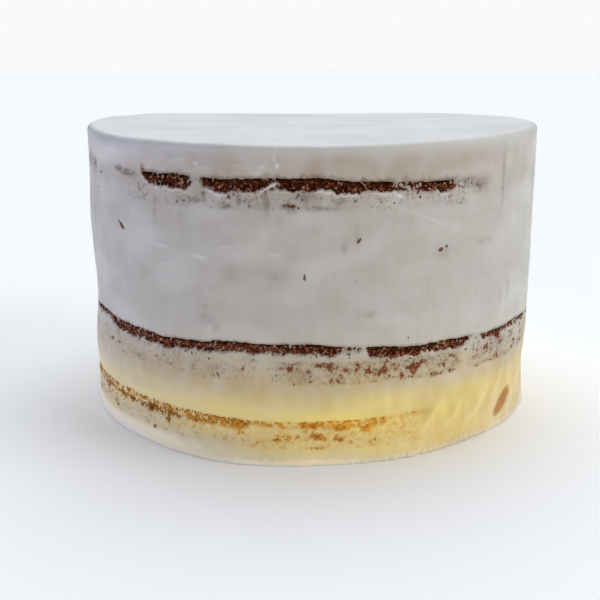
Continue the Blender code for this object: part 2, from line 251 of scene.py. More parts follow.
FRONT_COLUMNS, BACK_COLUMNS = 800, 440
COLUMNS = FRONT_COLUMNS + BACK_COLUMNS
BEARINGS = np.concatenate([
    np.arange(FRONT_COLUMNS) * 180 / FRONT_COLUMNS - 90,
    np.arange(BACK_COLUMNS) * 180 / BACK_COLUMNS + 90,
])
ROW_STEP, FOOT_STEP, FINE_STEP = 0.72, 0.48, 0.42  # heights of the coat's rows of faces
FOOT_TOP = 23
FINE_BANDS = ((102.5, 116.5), (30, 51))
EDGE_ROWS, EDGE_CLEAR = (-0.24, 0.04), 0.36  # two close rows at a sponge's top edge, and no other so near
STEP_REACH = 2.2  # how far from a sponge's top edge the rows follow its small steps
CRUMB_STEP, LOWER_CRUMB_STEP, LOWER_CRUMB = 0.42, 0.55, 7  # rows of a sponge, and where they get wider
PEAK_SHIFTS = {"sponge_1": 0.05, "sponge_2": 0.20, "sponge_4": 0.05}  # how much lighter its crumb is
TOP_CRUMB_SHOWN = 13.0  # how far down the highest sponge has crumb
EDGE_ROUND, SOFT_EDGE = 1.9, 1.5  # radius of the coat's top edge, and what the soft left part adds
EDGE_STEPS = 9
SEAM_HEIGHT = CAKE_HEIGHT - 5.0  # where the top piece meets the side pieces

rng = np.random.default_rng(SEED)


# Noise and small mathematics

GRADIENTS = rng.normal(size=(1024, 3))
GRADIENTS /= np.linalg.norm(GRADIENTS, axis=1, keepdims=True)


def noise(points, size, seed):
    """Smooth noise from about -1 to 1 at points (..., 3). size is the distance between its humps."""
    p = points / np.asarray(size, float) + 7.31 * seed + 40.0
    cell = np.floor(p).astype(np.int64)
    part = p - cell
    smooth = part**3 * (part * (part * 6 - 15) + 10)
    total = np.zeros(p.shape[:-1])
    for corner in np.ndindex(2, 2, 2):
        step = np.array(corner)
        at = cell + step
        mixed = at[..., 0] * 73856093 ^ at[..., 1] * 19349663 ^ at[..., 2] * 83492791 ^ seed * 2971
        pull = (GRADIENTS[mixed & 1023] * (part - step)).sum(-1)
        total += np.where(step == 1, smooth, 1 - smooth).prod(-1) * pull
    return 1.7 * total


def ease(value, start, end):
    """0 before start, 1 after end, and smooth between."""
    share = np.clip((value - start) / (end - start), 0.0, 1.0)
    return share * share * (3 - 2 * share)


def turn_between(bearing, centre):
    return (bearing - centre + 180.0) % 360.0 - 180.0


def within(bearing, first, last, fade):
    """1 between two bearings, 0 outside them, with a fade inside each end."""
    off = np.abs(turn_between(bearing, (first + last) / 2))
    return np.clip(((last - first) / 2 - off) / fade, 0.0, 1.0)


def bell(value, width):
    """1 at zero, and less away from it."""
    return np.exp(-((value / width) ** 2))


def spot_share(bearing, height, spot, sharpness=1.0):
    """1 in the middle of an oval spot on the side, and less away from it."""
    across = turn_between(bearing, spot.bearing) * ARC / spot.wide
    up = (height - spot.height) / spot.tall
    return np.exp(-sharpness * (across**2 + up**2))


def place(bearing, radius, height):
    angle = np.radians(bearing)
    return np.stack(np.broadcast_arrays(radius * np.sin(angle), -radius * np.cos(angle), height), -1)


def on_side(bearing, height):
    return place(bearing, CAKE_RADIUS, height)


# The coat's face and the sponges under it


def face_radius(bearing, height):
    """Radius of the coat's smooth face."""
    out = CAKE_RADIUS + BULGE * noise(on_side(bearing, height), BULGE_SIZE, 1)
    for s in SWELLINGS:
        across = bell(turn_between(bearing, s.bearing), s.spread)
        out = out + s.out * across * bell(height - s.height, s.reach)
    return out


def top_height(bearing, radius):
    """Height of the coat's upper face, with the long soft marks of the palette knife."""
    outer = (radius / CAKE_RADIUS) ** 2
    sag = TOP_SAG * outer * (1 + np.cos(2 * np.radians(bearing)))
    rise = MIDDLE_RISE * (1 - outer) + outer * np.interp(turn_between(bearing, 0), *RIM_SHIFTS)
    spot = place(bearing, radius, 0.0)
    marks = 0.22 * noise(spot, (60, 26, 1), 2) + 0.07 * noise(spot, (34, 7, 1), 3)
    return CAKE_HEIGHT - TOP_DROP - sag + rise + marks


def sponge_top(sponge, bearing):
    """Height of a sponge's top edge as in the CAD: a lean and three waves."""
    angle = np.radians(bearing)
    wave = sponge.wave * np.cos(3 * (angle - math.radians(sponge.wave_bearing)))
    return sponge.top + wave - sponge.lean * np.sin(angle)


def sponge_edge(sponge, bearing):
    """The top edge with the small steps that its crumb makes, and the upturned tip on the left."""
    spot = on_side(bearing, sponge.top)
    steps = 0.32 * noise(spot, 9.0, 21) + 0.30 * noise(spot, 2.6, 22) + 0.16 * noise(spot, 1.1, 25)
    if sponge.name in EDGE_SHIFTS:
        steps = steps + np.interp(turn_between(bearing, 0), *EDGE_SHIFTS[sponge.name])
    if sponge.name == "sponge_4":
        steps = steps + TIP_RISE * bell(turn_between(bearing, TIP_BEARING), TIP_SPREAD)
    return sponge_top(sponge, bearing) + steps


def slit_shape(sponge, bearing):
    """Height of the bare band under a sponge's top edge, and how broken it is, at each bearing."""
    band = np.zeros_like(bearing)
    solid = np.zeros_like(bearing)
    for slit in SLITS.get(sponge.name, ()):
        end = within(bearing, slit.first, slit.last, slit.taper)
        band = np.maximum(band, slit.band * (0.25 + 0.75 * ease(end, 0, 1)) * (end > 0))
        solid = np.maximum(solid, (1 - slit.broken) * ease(end, 0, 0.9))
    spot = on_side(bearing, sponge.top + 300)
    ragged = 1 + 0.26 * noise(spot, 7.0, 23) + 0.14 * noise(spot, 2.6, 24) + 0.10 * noise(spot, 1.2, 37)
    return band * ragged, 1 - solid


def crumb_relief(bearing, height):
    """Height of the sponge's crumb about its middle."""
    spot = on_side(bearing, height)
    warp = np.stack([noise(spot, 2.4, seed) for seed in (41, 42, 43)], -1)
    bent = spot + CRUMB_WARP * warp
    relief = 0.0
    for seed, (rise, size) in enumerate(CRUMB_RELIEFS, 51):
        relief = relief + rise * noise(bent, size, seed)
    return relief


def sponge_level(sponge, bearing, height):
    """Height of a sponge's side from the coat's face, crumb included. Negative is inside it."""
    spot = on_side(bearing, height)
    level = np.full(np.broadcast(bearing, height).shape, COVERED_LEVEL)
    for zone in ZONES.get(sponge.name, ()):
        window = ease(within(bearing, zone.first, zone.last, 4.0), 0, 1)
        window = window * ease(height, zone.low - 1, zone.low + 1.5)
        window = window * ease(-height, -zone.high - 1, -zone.high + 1.5)
        level = np.maximum(level, COVERED_LEVEL + (zone.level - COVERED_LEVEL) * window)
    for patch in PATCHES[sponge.name]:
        level = level + patch.share * spot_share(bearing, height, patch)
    level = level + CLUMP_RELIEF * noise(spot, (CLUMP_SIZE, CLUMP_SIZE, CLUMP_SIZE * 0.6), 7)
    level = level - FOOT_COVER * ease(-height, -6.5, -3.0)
    band, broken = slit_shape(sponge, bearing)
    below = sponge_edge(sponge, bearing) - height
    inside = ease(band + BAND_OVERLAP - below, -0.3, 1.1) * (band > BAND_OPEN)
    bare = BARE_LEVEL - BROKEN_DROP * broken
    level = level + np.maximum(bare - level, 0) * inside
    level = level - 0.25 * inside * bell(below, 0.6)
    return level + crumb_relief(bearing, height)


def slit_lip(sponge, bearing, height):
    """The thin lip of cream that was pushed up under a clean slit, from 0 to 1."""
    band, broken = slit_shape(sponge, bearing)
    below = sponge_edge(sponge, bearing) - height
    solid = (1 - broken) * np.clip(band / 2, 0, 1)
    gone = ease(noise(on_side(bearing, height), 7.0, 33), -0.5, 0.4)
    return solid * gone * bell(below - band - 0.7, 0.42)


def coat_level(bearing, height):
    """Height of the cream from its smooth face: slits and their lips, scraper marks and strokes."""
    spot = on_side(bearing, height)
    level = 0.06 * noise(spot, (60, 60, 3.5), 8) + 0.07 * noise(spot, (2.5, 2.5, 34), 9)
    level = level + 0.10 * noise(spot, (12, 12, 7), 10)
    for sponge in RIMMED:
        band, broken = slit_shape(sponge, bearing)
        below = sponge_edge(sponge, bearing) - height
        solid = (1 - broken) * np.clip(band / 2, 0, 1)
        there = band > BAND_OPEN
        opened = ease(below, 0.0, 0.25) * ease(band - below, -0.5, 0.9) * there
        level = level - SLIT_DEPTH * opened * (1 - 0.75 * broken)
        level = level - 0.3 * there * solid * ease(below, 0, 0.2) * bell(below, 0.7)
        level = level + LIP_HEIGHTS[sponge.name] * slit_lip(sponge, bearing, height)
    foot = bell(height, 3.2)
    serrated = np.abs(noise(spot, (3.0, 3.0, 7), 15)) * (0.25 + 0.75 * within(bearing, 4, 74, 12))
    torn = np.abs(noise(spot, (1.3, 1.3, 1.6), 36)) * ease(-height, -3.2, -1.2)
    level = level + foot * (1.0 * serrated + 0.30 * noise(spot, (11, 11, 5), 16)) + 0.45 * torn
    for stroke in STROKES:
        level = level + stroke_level(stroke, bearing, height)
    return level


def stroke_level(stroke, bearing, height):
    """What one stroke adds to the cream: a ridge or groove that thins out towards its ends."""
    middle = (stroke.bearing + stroke.to_bearing) / 2
    x, z = turn_between(bearing, middle) * ARC, height - stroke.height
    x0, x1 = (stroke.bearing - middle) * ARC, (stroke.to_bearing - middle) * ARC
    run = np.array([x1 - x0, stroke.to_height - stroke.height])
    length = float(run @ run)
    share = np.clip(((x - x0) * run[0] + z * run[1]) / length, 0, 1)
    away = np.hypot(x - x0 - share * run[0], z - share * run[1])
    taper = 0.35 + 0.65 * np.sin(np.pi * np.clip(share, 0.02, 0.98)) ** 0.5
    return stroke.out * taper * bell(away, stroke.width)


# Meshes


def row_heights():
    """Nominal heights of the coat's rows: close together where the sponges' edges show."""
    heights = [FOOT_HEIGHT]
    while heights[-1] < SEAM_HEIGHT - 1.5:
        h = heights[-1]
        if any(low < h < high for low, high in FINE_BANDS):
            step = FINE_STEP
        elif h < FOOT_TOP:
            step = FOOT_STEP
        else:
            step = ROW_STEP
        heights.append(h + step)
    heights = np.array(heights)
    for sponge in RIMMED:
        heights = heights[np.abs(heights - sponge.top) > EDGE_CLEAR]
        heights = np.append(heights, sponge.top + np.array(EDGE_ROWS))
    return np.append(np.sort(heights), SEAM_HEIGHT)


def followed(nominal, bearing):
    """True heights of rows that follow the sponges' edges, for nominal heights and all bearings."""
    anchors = [0.0] + [s.top for s in RIMMED] + [SEAM_HEIGHT]
    shifts = [0 * bearing] + [sponge_top(s, bearing) - s.top for s in RIMMED] + [0 * bearing]
    weights = np.array([np.interp(nominal, anchors, row) for row in np.eye(len(anchors))])
    height = nominal[:, None] + weights.T @ np.array(shifts)
    for s in RIMMED:
        steps = sponge_edge(s, bearing) - sponge_top(s, bearing)
        height = height + bell(nominal - s.top, STEP_REACH)[:, None] * steps
    return height


def quads_between(lower, upper):
    """Quads between two rings of vertex numbers of equal length, which close round."""
    return np.stack([lower, np.roll(lower, -1), np.roll(upper, -1), upper], -1)


def strip(lower, upper):
    """Quads between two open rows of vertex numbers, or between the rows of two grids."""
    return np.stack([lower[..., :-1], lower[..., 1:], upper[..., 1:], upper[..., :-1]], -1)


def fan(ring, centre):
    """Triangles from a ring to the one vertex at its centre."""
    return np.stack([ring, np.roll(ring, -1), np.full(len(ring), centre)], -1)


def narrowing(outer, inner):
    """Triangles from a ring to one inside it with half as many vertices."""
    a, b, c = outer[0::2], outer[1::2], np.roll(outer, -2)[0::2]
    p, q = inner, np.roll(inner, -1)
    return np.concatenate([np.stack([a, b, p], -1), np.stack([b, q, p], -1), np.stack([b, c, q], -1)])


def new_object(name, vertices, faces, material, body="root"):
    """A mesh object from vertices in millimetres and a list of faces, riding on the cake."""
    mesh = bpy.data.meshes.new(name)
    mesh.from_pydata((np.asarray(vertices) * MM).tolist(), [], faces)
    mesh.update()
    mesh.shade_smooth()
    made = bpy.data.objects.new(name, mesh)
    bpy.context.scene.collection.objects.link(made)
    mesh.materials.append(material)
    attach(made, body)
    return made


def read_all(items, name, kind, width=1):
    values = np.empty(len(items) * width, kind)
    items.foreach_get(name, values)
    return values


def write_attribute(mesh, name, values):
    attribute = mesh.attributes.new(name, "FLOAT", "POINT")
    attribute.data.foreach_set("value", np.asarray(values, np.float32))


def top_edge(start_radius, start_height):
    """Rings of points round the coat's top edge, from the seam at its side to the upper face."""
    left = bell(turn_between(BEARINGS, -42), 24)
    uneven = 0.35 * noise(on_side(BEARINGS, 0), 14.0, 26)
    turn_radius = EDGE_ROUND + SOFT_EDGE * left + uneven
    lip = start_radius - turn_radius
    brink = top_height(BEARINGS, lip)
    rings = []
    for i in range(1, EDGE_STEPS + 1):
        turn = math.pi / 2 * i / EDGE_STEPS
        height = brink - turn_radius * (1 - math.sin(turn))
        height = np.maximum(height, start_height + 0.1 * i)
        rings.append((BEARINGS, lip + turn_radius * math.cos(turn), height))
    return rings, lip


def coat_surface():
    """The coat's whole outer face: vertices, rings of vertex numbers, and the side's grid."""
    height = followed(row_heights(), BEARINGS)
    wide = np.broadcast_to(BEARINGS, height.shape)
    level = coat_level(wide, height)
    radius = face_radius(wide, height) + level
    rows = [place(wide, radius, height).reshape(-1, 3)]
    rings = [np.arange(COLUMNS) + i * COLUMNS for i in range(len(height))]
    seam = len(rings) - 1
    edge_rings, lip = top_edge(radius[-1], height[-1])
    for ring in edge_rings:
        rows.append(place(*ring))
        rings.append(rings[-1] + COLUMNS)
    here, count = BEARINGS, COLUMNS
    first_free = rings[-1][-1] + 1
    inset = 0.8
    while inset < 98:
        if (inset > 4 and count > 900) or (inset > 40 and count > 500) or (inset > 70 and count > 200):
            here, count = here[::2], count // 2
        ring_radius = np.interp(here, BEARINGS, lip) * (1 - inset / 100)
        rows.append(place(here, ring_radius, top_height(here, ring_radius)))
        rings.append(np.arange(count) + first_free)
        first_free += count
        inset += 0.9 if inset < 5 else 1.8
    middle = float(top_height(np.array(0.0), np.array(0.0)))
    rows.append(np.array([[0.0, 0.0, middle]]))
    rings.append(np.array([first_free]))
    return np.concatenate(rows), rings, seam, wide, height, level


def ring_faces(rings):
    """Groups of faces between rings that follow one another. The last ring is a single point."""
    faces = []
    for lower, upper in zip(rings, rings[1:]):
        if len(upper) == 1:
            faces.append(fan(lower, upper[0]))
        elif len(upper) == len(lower):
            faces.append(quads_between(lower, upper))
        else:
            faces.append(narrowing(lower, upper))
    return faces


def film_and_painted_edge_shade(bearing, height, level):
    """How much of the brown sponge shows through the cream, from 0 to 1, with painted shade along a
    slit's upper edge.
    """
    shade = np.zeros_like(height)
    for sponge in SPONGES:
        near = (height > sponge.bottom - 1).any(1) & (height < sponge.top + 8).any(1)
        at, up = bearing[near], height[near]
        film = level[near] - sponge_level(sponge, at, up)
        below = sponge_edge(sponge, at) - up
        there = ease(below, -0.6, 0.3) * ease(up, sponge.bottom - 0.5, sponge.bottom + 1.0)
        band, broken = slit_shape(sponge, at)
        # Just above a slit's edge: partly thin cream over the crumb, partly painted shade under the
        # overhang.
        patchy = ease(noise(on_side(at, up), 4.0, 17), -0.9, 0.5)
        fuzzy = HALO_FUZZ.get(sponge.name, USUAL_FUZZ)
        reach = 0.5 + fuzzy * patchy * ease(noise(on_side(at, up), 2.4, 34), -0.8, 0.8)
        clean = np.clip(1.25 - broken, 0.2, 1) * HALO_SHARE.get(sponge.name, USUAL_SHARE)
        edge_film_and_painted_shade = clean * (band > BAND_OPEN) * (below < 0.3) * bell(below, reach)
        shown = np.maximum(there * np.exp(-np.maximum(film, 0) / FILM_REACH), edge_film_and_painted_shade)
        shade[near] = np.maximum(shade[near], shown)
    smear = 0.45 + 0.55 * ease(noise(on_side(bearing, height), (2.2, 2.2, 1.3), 29), -0.6, 0.5)
    for s in SMUDGES:
        mark = SMUDGE_SHARE * s.share * spot_share(bearing, height, s, 0.6) * smear
        shade = np.maximum(shade, np.minimum(mark, SMUDGE_MOST))
    return shade


def painted_reflection_share(bearing, height):
    """How yellow the cream is, from 0 to 1: a painted reflection of a gold board under the cake."""
    spot = on_side(bearing, height)
    drift = 2.0 * noise(spot, (26, 26, 14), 12)
    share = np.interp(height + drift, PAINTED_REFLECTION_HEIGHTS, PAINTED_REFLECTION_SHARES)
    round_it = 0.43 + 0.57 * bell(turn_between(bearing, 14), 43)
    return np.clip(share * round_it * (0.94 + 0.25 * noise(spot, (30, 30, 6), 13)), 0, 1)


def beige_shade(bearing, height):
    """How beige the cream is, from 0 to 1: most in front, where the coat is thinnest."""
    spot = on_side(bearing, height)
    drift = 2.5 * noise(spot, (18, 18, 9), 27)
    share = np.interp(height + drift, BEIGE_HEIGHTS, BEIGE_SHARES)
    round_it = 0.45 + 0.55 * bell(turn_between(bearing, 0), 50)
    streaks = 0.8 + 0.5 * noise(spot, (5, 5, 11), 28)
    # low on the right: beige, which also turns the painted reflection there to a duller ochre
    right = 0.90 * within(bearing, 2, 110, 24) * ease(-height, -42, -28)
    return np.clip(np.maximum(share * round_it, right) * streaks, 0, 1)


def thick_shade(bearing, height):
    """How white the cream is, from 0 to 1: at the piled-up foot and in the high ridges, mostly painted
    light and highlights.
    """
    spot = on_side(bearing, height)
    left = within(bearing, -105, -4, 34)
    right = within(bearing, 0, 90, 25)
    low, high = ease(-height, -6, -1.5), ease(-height, -10, -3.5)
    # Whiter at the foot, where the cream is piled up and painted light falls on it.
    foot = np.maximum((0.30 - 0.2 * right) * low, 0.95 * left * high)
    ragged = 2.4 + 1.0 * noise(spot, (2.6, 2.6, 9), 35)
    lip = (0.75 - 0.4 * right) * ease(ragged - height, -0.4, 0.5)
    ridges = sum(np.maximum(stroke_level(s, bearing, height), 0) for s in STROKES)
    marks = ease(ridges, 0.05, 0.5) * (0.18 + 0.4 * ease(height, 60, 80))  # painted highlight on the ridges, whiter on the upper side
    # the cream's own cloudy lighter patches
    cloudy = 0.22 * ease(noise(spot, (22, 22, 12), 18), -0.2, 0.9)
    # Painted light on the upper side at the left and right, where the side lamps fall.
    sides = 0.38 * within(bearing, -95, -25, 30) + 0.42 * within(bearing, 55, 105, 22)
    rim = ease(height, 110, 119) * sides
    # The lips under the upper slit get a painted highlight.
    most = np.maximum.reduce([foot, lip, marks, 0.6 * slit_lip(SPONGES[3], bearing, height)])
    return np.clip(most + cloudy + rim, 0, 1)


def make_coat(material):
    """The coat: three pieces for the side and one for the top, all closed bodies."""
    vertices, rings, seam, wide, height, level = coat_surface()
    groups = ring_faces(rings)
    whole = bpy.data.meshes.new("whole")
    whole.from_pydata(vertices.tolist(), [], [f for g in groups for f in g.tolist()])
    whole.update()
    normals = read_all(whole.vertex_normals, "vector", np.float32, 3).reshape(-1, 3)
    bpy.data.meshes.remove(whole)
    gouge = stroke_level(STROKES[STAIN_STROKE], wide, height)
    shades = {
        "film": film_and_painted_edge_shade(wide, height, level).ravel(),
        "painted_reflection": painted_reflection_share(wide, height).ravel(),
        "beige": beige_shade(wide, height).ravel(),
        "thick": thick_shade(wide, height).ravel(),
        "stain": ease(-gouge, 0.12, 0.5).ravel(),
    }
    middle = FRONT_COLUMNS // 2
    parts = (
        ("icing_left", 0, middle),
        ("icing_right", middle, middle),
        ("icing_back", FRONT_COLUMNS, BACK_COLUMNS),
    )
    for name, start, count in parts:
        columns = (start + np.arange(count + 1)) % COLUMNS
        grid = np.arange(seam + 1)[:, None] * COLUMNS + columns[None, :]
        make_side(name, vertices, normals, grid, shades, material)
    make_top(vertices, normals, rings[seam:], groups[seam:], shades, material)


def make_side(name, vertices, normals, grid, shades, material):
    """A part of the side, closed by an inner wall, a foot, a top strip and two end faces."""
    rows, columns = grid.shape
    outer = vertices[grid.ravel()]
    local = np.arange(rows * columns).reshape(rows, columns)
    rims = []
    for row in (0, rows - 1):
        edge = outer[local[row]]
        bearing = np.degrees(np.arctan2(edge[:, 0], -edge[:, 1]))
        rims.append(place(bearing, CORE_RADIUS, edge[:, 2]))
    low = rows * columns + np.arange(columns)
    high = low + columns
    faces = strip(local[:-1], local[1:]).reshape(-1, 4).tolist()
    outside = len(faces)
    for one, other in ((low, local[0]), (high, low), (local[-1], high)):
        faces += strip(one, other).tolist()
    faces.append([*local[:, 0].tolist(), int(high[0]), int(low[0])])
    faces.append([*local[:, -1].tolist(), int(high[-1]), int(low[-1])][::-1])
    made = new_object(name, np.concatenate([outer, *rims]), faces, material)
    own = {key: values[grid.ravel()] for key, values in shades.items()}
    finish_coat_piece(made, outside, normals[grid.ravel()], own)


def make_top(vertices, normals, rings, groups, shades, material):
    """The top of the coat, closed underneath by a plug that reaches down to the highest sponge."""
    first = rings[0][0]
    outer = vertices[first:]
    count = len(outer)
    plug = CORE_RADIUS - 0.1
    bottom = SPONGES[-1].top + GAP
    inner = [place(BEARINGS, plug, outer[:COLUMNS, 2]), place(BEARINGS, plug, bottom + 0 * BEARINGS)]
    faces = []
    for group in groups:
        faces += (group - first).tolist()
    outside = len(faces)
    edge = np.arange(COLUMNS)
    upper, lower = count + edge, count + COLUMNS + edge
    centre = count + 2 * COLUMNS
    faces += quads_between(upper, edge).tolist()
    faces += quads_between(lower, upper).tolist()
    faces += fan(lower, centre)[:, [1, 0, 2]].tolist()
    points = np.concatenate([outer, *inner, [[0.0, 0.0, bottom]]])
    made = new_object("icing_top", points, faces, material)
    rim = {key: values[first : first + COLUMNS] for key, values in shades.items()}
    padded = {key: np.concatenate([row, np.zeros(count - COLUMNS)]) for key, row in rim.items()}
    # The top is painted lighter than the side, in cloudy patches.
    padded["thick"][COLUMNS:] = top_shade(outer[COLUMNS:])
    finish_coat_piece(made, outside, normals[first:], padded)


def top_shade(points):
    """How white the top is at each of its points: painted lighter than the side, cloudy, with a few grey
    smears.
    """
    flat = points * (1, 1, 0)
    cloudy = 0.60 + 0.16 * noise(flat, (55, 30, 9), 19) + 0.10 * noise(flat, (30, 8, 9), 20)
    for x, y, wide, tall in TOP_SMEARS:
        cloudy = cloudy - 0.22 * bell(points[:, 0] - x, wide) * bell(points[:, 1] - y, tall)
    reach = np.hypot(points[:, 0], points[:, 1])
    side = ease(reach, CAKE_RADIUS - 3.0, CAKE_RADIUS - 0.4)
    return np.clip(cloudy * (1 - side) + 0.1 * side, 0, 1)


def finish_coat_piece(made, outside, normals, shades):
    """Gives a piece of the coat the whole coat's normals, so that no seam shows, and its shades."""
    mesh = made.data
    count = len(mesh.vertices)
    for key, values in shades.items():
        write_attribute(mesh, key, np.concatenate([values, np.zeros(count - len(values))]))
    loops = read_all(mesh.loops, "vertex_index", np.int32)
    starts = read_all(mesh.polygons, "loop_start", np.int32)
    totals = read_all(mesh.polygons, "loop_total", np.int32)
    flat = read_all(mesh.polygons, "normal", np.float32, 3)
    corner = np.repeat(flat.reshape(-1, 3), totals, axis=0)
    split = starts[outside]
    corner[:split] = normals[loops[:split]]
    mesh.normals_split_custom_set(corner.tolist())
    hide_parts("icing")


def make_sponge(sponge, material):
    """A sponge with its crumb as relief on the side, a closed body."""
    edge = sponge_edge(sponge, BEARINGS)
    shown = TOP_CRUMB_SHOWN if sponge is SPONGES[-1] else sponge.top - sponge.bottom
    drops = [0.3]
    while drops[-1] < shown - 1.0:
        drops.append(drops[-1] + (CRUMB_STEP if drops[-1] < LOWER_CRUMB else LOWER_CRUMB_STEP))
    drops = np.array(drops[::-1])
    height = np.maximum(edge[None, :] - drops[:, None], sponge.bottom + 0.4)
    wide = np.broadcast_to(BEARINGS, height.shape)
    level = sponge_level(sponge, wide, height)
    radius = face_radius(wide, height) + level
    bottom = sponge.bottom + 0 * BEARINGS
    rows = [place(BEARINGS, radius[0] - 0.6, bottom)]
    rows += list(place(wide, radius, height))
    rows.append(place(BEARINGS, radius[-1] - 0.35, edge - 0.05))
    rings = [np.arange(COLUMNS) + COLUMNS * i for i in range(len(rows))]
    centre = len(rows) * COLUMNS
    faces = []
    for lower, upper in zip(rings, rings[1:]):
        faces += quads_between(lower, upper).tolist()
    faces += fan(rings[0], centre)[:, [1, 0, 2]].tolist()
    faces += fan(rings[-1], centre + 1).tolist()
    ends = [[0, 0, sponge.bottom], [0, 0, sponge.top]]
    made = new_object(sponge.name + "_crumb", np.concatenate([*rows, ends]), faces, material)
    out = level - coat_level(wide, height)
    below = edge[None, :] - height
    # Lighter where the crumb stands out, darker in its hollows and just under the top edge: painted light
    # and shade; the clumps vary its tone at random.
    clumps = 0.20 * noise(on_side(wide, height), 2.6, 38) + PEAK_SHIFTS[sponge.name]
    crumb_tone_and_painted_light = 0.5 + crumb_relief(wide, height) / 0.9 + clumps - 0.55 * bell(below, 0.8)
    filmed = 0.5 + 0.5 * np.exp(-np.maximum(out, 0) / 0.22)
    shades = {
        "film": (sponge.name == "sponge_2") * ease(below, 3.5, 6.0) * filmed,
        # painted reflection of the gold board on the crumb
        "painted_reflection": painted_reflection_share(wide, height),
        "crumb_tone_and_painted_light": np.clip(crumb_tone_and_painted_light, 0, 1),
    }
    for key, grid in shades.items():
        padded = np.concatenate([grid[0], grid.ravel(), grid[-1], [0, 0]])
        write_attribute(made.data, key, padded)
    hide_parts(sponge.name)


# Loose crumbs and specks on the cream: bearing, height, length, half width, and tilt in degrees
Speck = namedtuple("Speck", "bearing height length width tilt")
SPECKS = [Speck(*row) for row in (
    (-2.2, 76.7, 3, 0.45, 88), (9.4, 90.5, 3, 0.6, 55), (28.6, 85, 2.8, 0.95, 20),
    (30.2, 86, 1.5, 0.7, 50), (-50.2, 90.3, 4.4, 1.15, -35), (-51.5, 92, 1.6, 0.5, -35),
    (21, 51, 1, 0.35, 45), (-61, 110.5, 1.4, 0.6, 10), (-63.5, 103.5, 0.9, 0.4, 0),
    (23, 106.2, 1.4, 0.6, -30), (8.5, 105.6, 1.3, 0.45, 35), (17, 104.4, 0.8, 0.4, 0),
    (-3.5, 103.3, 1, 0.5, -20), (30.5, 105.4, 1.2, 0.35, 80),
)]
SCATTERED = 300


def one_crumb(size, tilt, spot, outward):
    """Vertices of one small crumb, an uneven ball with a long axis."""
    ball = bmesh.new()
    bmesh.ops.create_icosphere(ball, subdivisions=2, radius=1.0)
    points = np.array([v.co for v in ball.verts])
    faces = [[v.index for v in f.verts] for f in ball.faces]
    ball.free()
    points *= 1 + 0.28 * noise(points * 1.7 + rng.uniform(0, 50, 3), 1.0, 31)[:, None]
    points *= size
    up = np.array([0.0, 0.0, 1.0])
    across = np.cross(up, outward)
    along = math.cos(tilt) * across + math.sin(tilt) * up
    side = np.cross(outward, along)
    return points @ np.array([along, side, outward]) + spot, faces


def scattered_crumb():
    """Bearing, height, size and tilt of a random crumb just under one of the slits."""
    sponge = SPONGES[rng.choice([0, 1, 1, 3])]
    bearing = rng.uniform(-180, 180)
    band, broken = slit_shape(sponge, np.array([bearing]))
    if band[0] < BAND_OPEN:
        return None
    drop = band[0] + abs(rng.normal(0.2, 1.6)) - 0.8
    height = float(sponge_edge(sponge, np.array(bearing))) - max(drop, 0.5)
    half = 0.20 + 0.30 * rng.random() ** 2
    size = half * np.array([rng.uniform(1.0, 2.0), 1.0, 0.8])
    return bearing, height, size, rng.uniform(0, math.pi)


def make_crumbs(material):
    """All loose crumbs as one joined mesh."""
    wanted = []
    for speck in SPECKS:
        size = np.array((speck.length / 2, speck.width, 0.35))
        wanted.append((speck.bearing, speck.height, size, math.radians(speck.tilt)))
    wanted += [c for c in (scattered_crumb() for _ in range(SCATTERED)) if c]
    points, faces, painted_reflections, start = [], [], [], 0
    for bearing, height, size, tilt in wanted:
        b, h = np.array([bearing]), np.array([height])
        radius = (face_radius(b, h) + coat_level(b, h))[0] - 0.12
        outward = place(bearing, 1.0, 0.0)
        more, ball = one_crumb(size, tilt, place(bearing, radius, height), outward)
        points.append(more)
        faces += [[v + start for v in f] for f in ball]
        # each crumb takes the painted reflection of the gold board where it lies
        painted_reflections.append(np.full(len(more), painted_reflection_share(b, h)[0]))
        start += len(more)
    made = new_object("crumbs", np.concatenate(points), faces, material)
    write_attribute(made.data, "painted_reflection", np.concatenate(painted_reflections))


# Materials


def material_named(name):
    made = bpy.data.materials.new(name)
    made.use_nodes = True
    return made, made.node_tree, made.node_tree.nodes["Principled BSDF"]


def set_inputs(node, values):
    for name, value in values.items():
        node.inputs[name].default_value = value


def coordinates(tree, stretch=(1, 1, 1)):
    source = tree.nodes.new("ShaderNodeTexCoord")
    mapping = tree.nodes.new("ShaderNodeMapping")
    mapping.inputs["Scale"].default_value = stretch
    tree.links.new(source.outputs["Object"], mapping.inputs["Vector"])
    return mapping.outputs["Vector"]


def noise_node(tree, scale, detail=3.0, stretch=(1, 1, 1)):
    made = tree.nodes.new("ShaderNodeTexNoise")
    set_inputs(made, {"Scale": scale, "Detail": detail})
    tree.links.new(coordinates(tree, stretch), made.inputs["Vector"])
    return made.outputs["Fac"]


def map_range(tree, value, low, high, to_low=0, to_high=1):
    made = tree.nodes.new("ShaderNodeMapRange")
    set_inputs(made, {"From Min": low, "From Max": high, "To Min": to_low, "To Max": to_high})
    tree.links.new(value, made.inputs["Value"])
    return made.outputs["Result"]


def feed(tree, socket, value):
    """Links a socket to another one, or sets it to a number or colour."""
    if isinstance(value, tuple):
        socket.default_value = (*value, 1.0)
    elif isinstance(value, (int, float)):
        socket.default_value = value
    else:
        tree.links.new(value, socket)


def mixed(tree, share, first, second):
    """Colour mix. Each of first and second is a colour or a socket."""
    made = tree.nodes.new("ShaderNodeMix")
    made.data_type = "RGBA"
    tree.links.new(share, made.inputs["Factor"])
    feed(tree, made.inputs[6], first)
    feed(tree, made.inputs[7], second)
    return made.outputs[2]


def calculated(tree, operation, first, second):
    made = tree.nodes.new("ShaderNodeMath")
    made.operation = operation
    feed(tree, made.inputs[0], first)
    feed(tree, made.inputs[1], second)
    return made.outputs[0]


def times(tree, first, second):
    return calculated(tree, "MULTIPLY", first, second)


